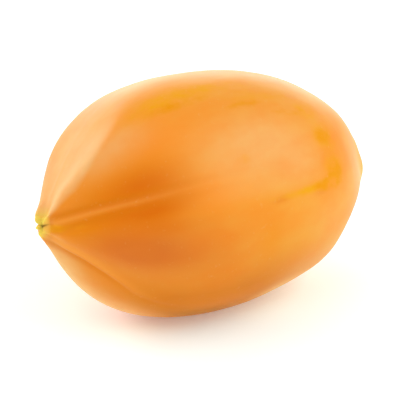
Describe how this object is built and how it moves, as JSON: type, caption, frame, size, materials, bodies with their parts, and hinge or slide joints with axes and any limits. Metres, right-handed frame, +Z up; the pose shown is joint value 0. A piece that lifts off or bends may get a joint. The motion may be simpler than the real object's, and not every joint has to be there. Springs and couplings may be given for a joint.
{
  "type": "papaya",
  "caption": "Ripe whole papaya lying on its side, with a pointed blossom end where the sutures meet, a full belly and a blunt stem end with a shallow basin round the cut stalk",
  "frame": {"origin": "the middle of the fruit's box in plan, on the surface that it rests on", "axes": "X along the fruit's length with the blossom end towards -X and the stem end towards +X, Y across, Z up"},
  "size_m": [0.1654, 0.1076, 0.1065],
  "materials": {
    "skin": "thin waxy fruit skin with a satin sheen, orange with golden-yellow patches, yellow-green at the tip and pale brown at the cut stalk"
  },
  "bodies": {
    "root": {"papaya": "skin"}
  },
  "joints": []
}
